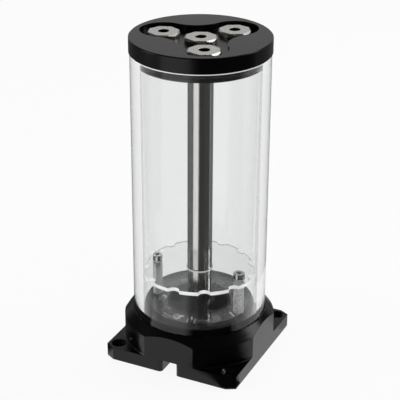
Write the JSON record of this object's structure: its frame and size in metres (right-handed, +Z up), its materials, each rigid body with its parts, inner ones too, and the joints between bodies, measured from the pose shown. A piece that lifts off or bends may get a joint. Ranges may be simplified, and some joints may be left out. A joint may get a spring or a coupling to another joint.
{
  "type": "coolant pump reservoir",
  "caption": "Square-based glass tube reservoir for a coolant pump, with a riser pipe, a baffle disc on standoffs, a lit floor window and a lid with screw-out port plugs.",
  "frame": {"origin": "middle of the base plate's underside, on the axis of the tube", "axes": "+Z up along the tube; the cable slot in the base faces -Y; the two kidney ports and the two standoffs lie along X"},
  "size_m": [0.075, 0.075, 0.173],
  "materials": {
    "base_metal": "dark anodised, satin",
    "block_metal": "dark anodised, polished",
    "lid_metal": "dark anodised, satin",
    "dark_screw": "blackened",
    "seal_rubber": "smooth",
    "tube_glass": "clear, polished",
    "clear_acrylic": "clear, polished",
    "circuit_board": "solder-masked board",
    "lamp": "moulded lamp with a clear cup",
    "chip": "moulded",
    "brushed_steel_pipe": "brushed round the pipe",
    "polished_steel": "polished",
    "satin_nickel": "brass with satin nickel plating"
  },
  "bodies": {
    "reservoir": {"base_frame": "base_metal", "port_block": "block_metal", "block_screws": "dark_screw", "pump_face_oring": "seal_rubber", "tube_gasket": "seal_rubber", "tube_lower_oring": "seal_rubber", "glass_tube": "tube_glass", "window_ring": "clear_acrylic", "led_board": "circuit_board", "leds": "lamp", "board_parts": "chip", "lead_bush": "seal_rubber", "riser_pipe": "brushed_steel_pipe", "riser_lower_oring": "seal_rubber", "riser_upper_oring": "seal_rubber", "baffle_disc": "clear_acrylic", "standoff_left": "polished_steel", "standoff_right": "polished_steel", "baffle_screw_left": "polished_steel", "baffle_screw_right": "polished_steel", "lid": "lid_metal", "lid_oring": "seal_rubber"},
    "centre_seal": {"plug_centre_oring": "seal_rubber"},
    "centre_plug": {"plug_centre": "satin_nickel"},
    "left_seal": {"plug_left_oring": "seal_rubber"},
    "left_plug": {"plug_left": "satin_nickel"},
    "rear_seal": {"plug_rear_oring": "seal_rubber"},
    "rear_plug": {"plug_rear": "satin_nickel"},
    "front_seal": {"plug_front_oring": "seal_rubber"},
    "front_plug": {"plug_front": "satin_nickel"}
  },
  "joints": [
    {"name": "centre_plug_lift", "type": "slide", "parent": "reservoir", "child": "centre_seal", "axis": [0, 0, 1], "range_m": [0, 0.00602]},
    {"name": "centre_plug_turn", "type": "hinge", "parent": "centre_seal", "child": "centre_plug", "pos_m": [0, 0, 0.17], "axis": [0, 0, 1], "range_deg": [0, 1620]},
    {"name": "left_plug_lift", "type": "slide", "parent": "reservoir", "child": "left_seal", "axis": [0, 0, 1], "range_m": [0, 0.00602]},
    {"name": "left_plug_turn", "type": "hinge", "parent": "left_seal", "child": "left_plug", "pos_m": [-0.02042, 0, 0.17], "axis": [0, 0, 1], "range_deg": [0, 1620]},
    {"name": "rear_plug_lift", "type": "slide", "parent": "reservoir", "child": "rear_seal", "axis": [0, 0, 1], "range_m": [0, 0.00602]},
    {"name": "rear_plug_turn", "type": "hinge", "parent": "rear_seal", "child": "rear_plug", "pos_m": [0.01021, 0.01768, 0.17], "axis": [0, 0, 1], "range_deg": [0, 1620]},
    {"name": "front_plug_lift", "type": "slide", "parent": "reservoir", "child": "front_seal", "axis": [0, 0, 1], "range_m": [0, 0.00602]},
    {"name": "front_plug_turn", "type": "hinge", "parent": "front_seal", "child": "front_plug", "pos_m": [0.01021, -0.01768, 0.17], "axis": [0, 0, 1], "range_deg": [0, 1620]}
  ],
  "couplings": [
    {"joint": "centre_plug_lift", "follows": "centre_plug_turn", "m_per_rad": 0.00021279},
    {"joint": "left_plug_lift", "follows": "left_plug_turn", "m_per_rad": 0.00021279},
    {"joint": "rear_plug_lift", "follows": "rear_plug_turn", "m_per_rad": 0.00021279},
    {"joint": "front_plug_lift", "follows": "front_plug_turn", "m_per_rad": 0.00021279}
  ]
}
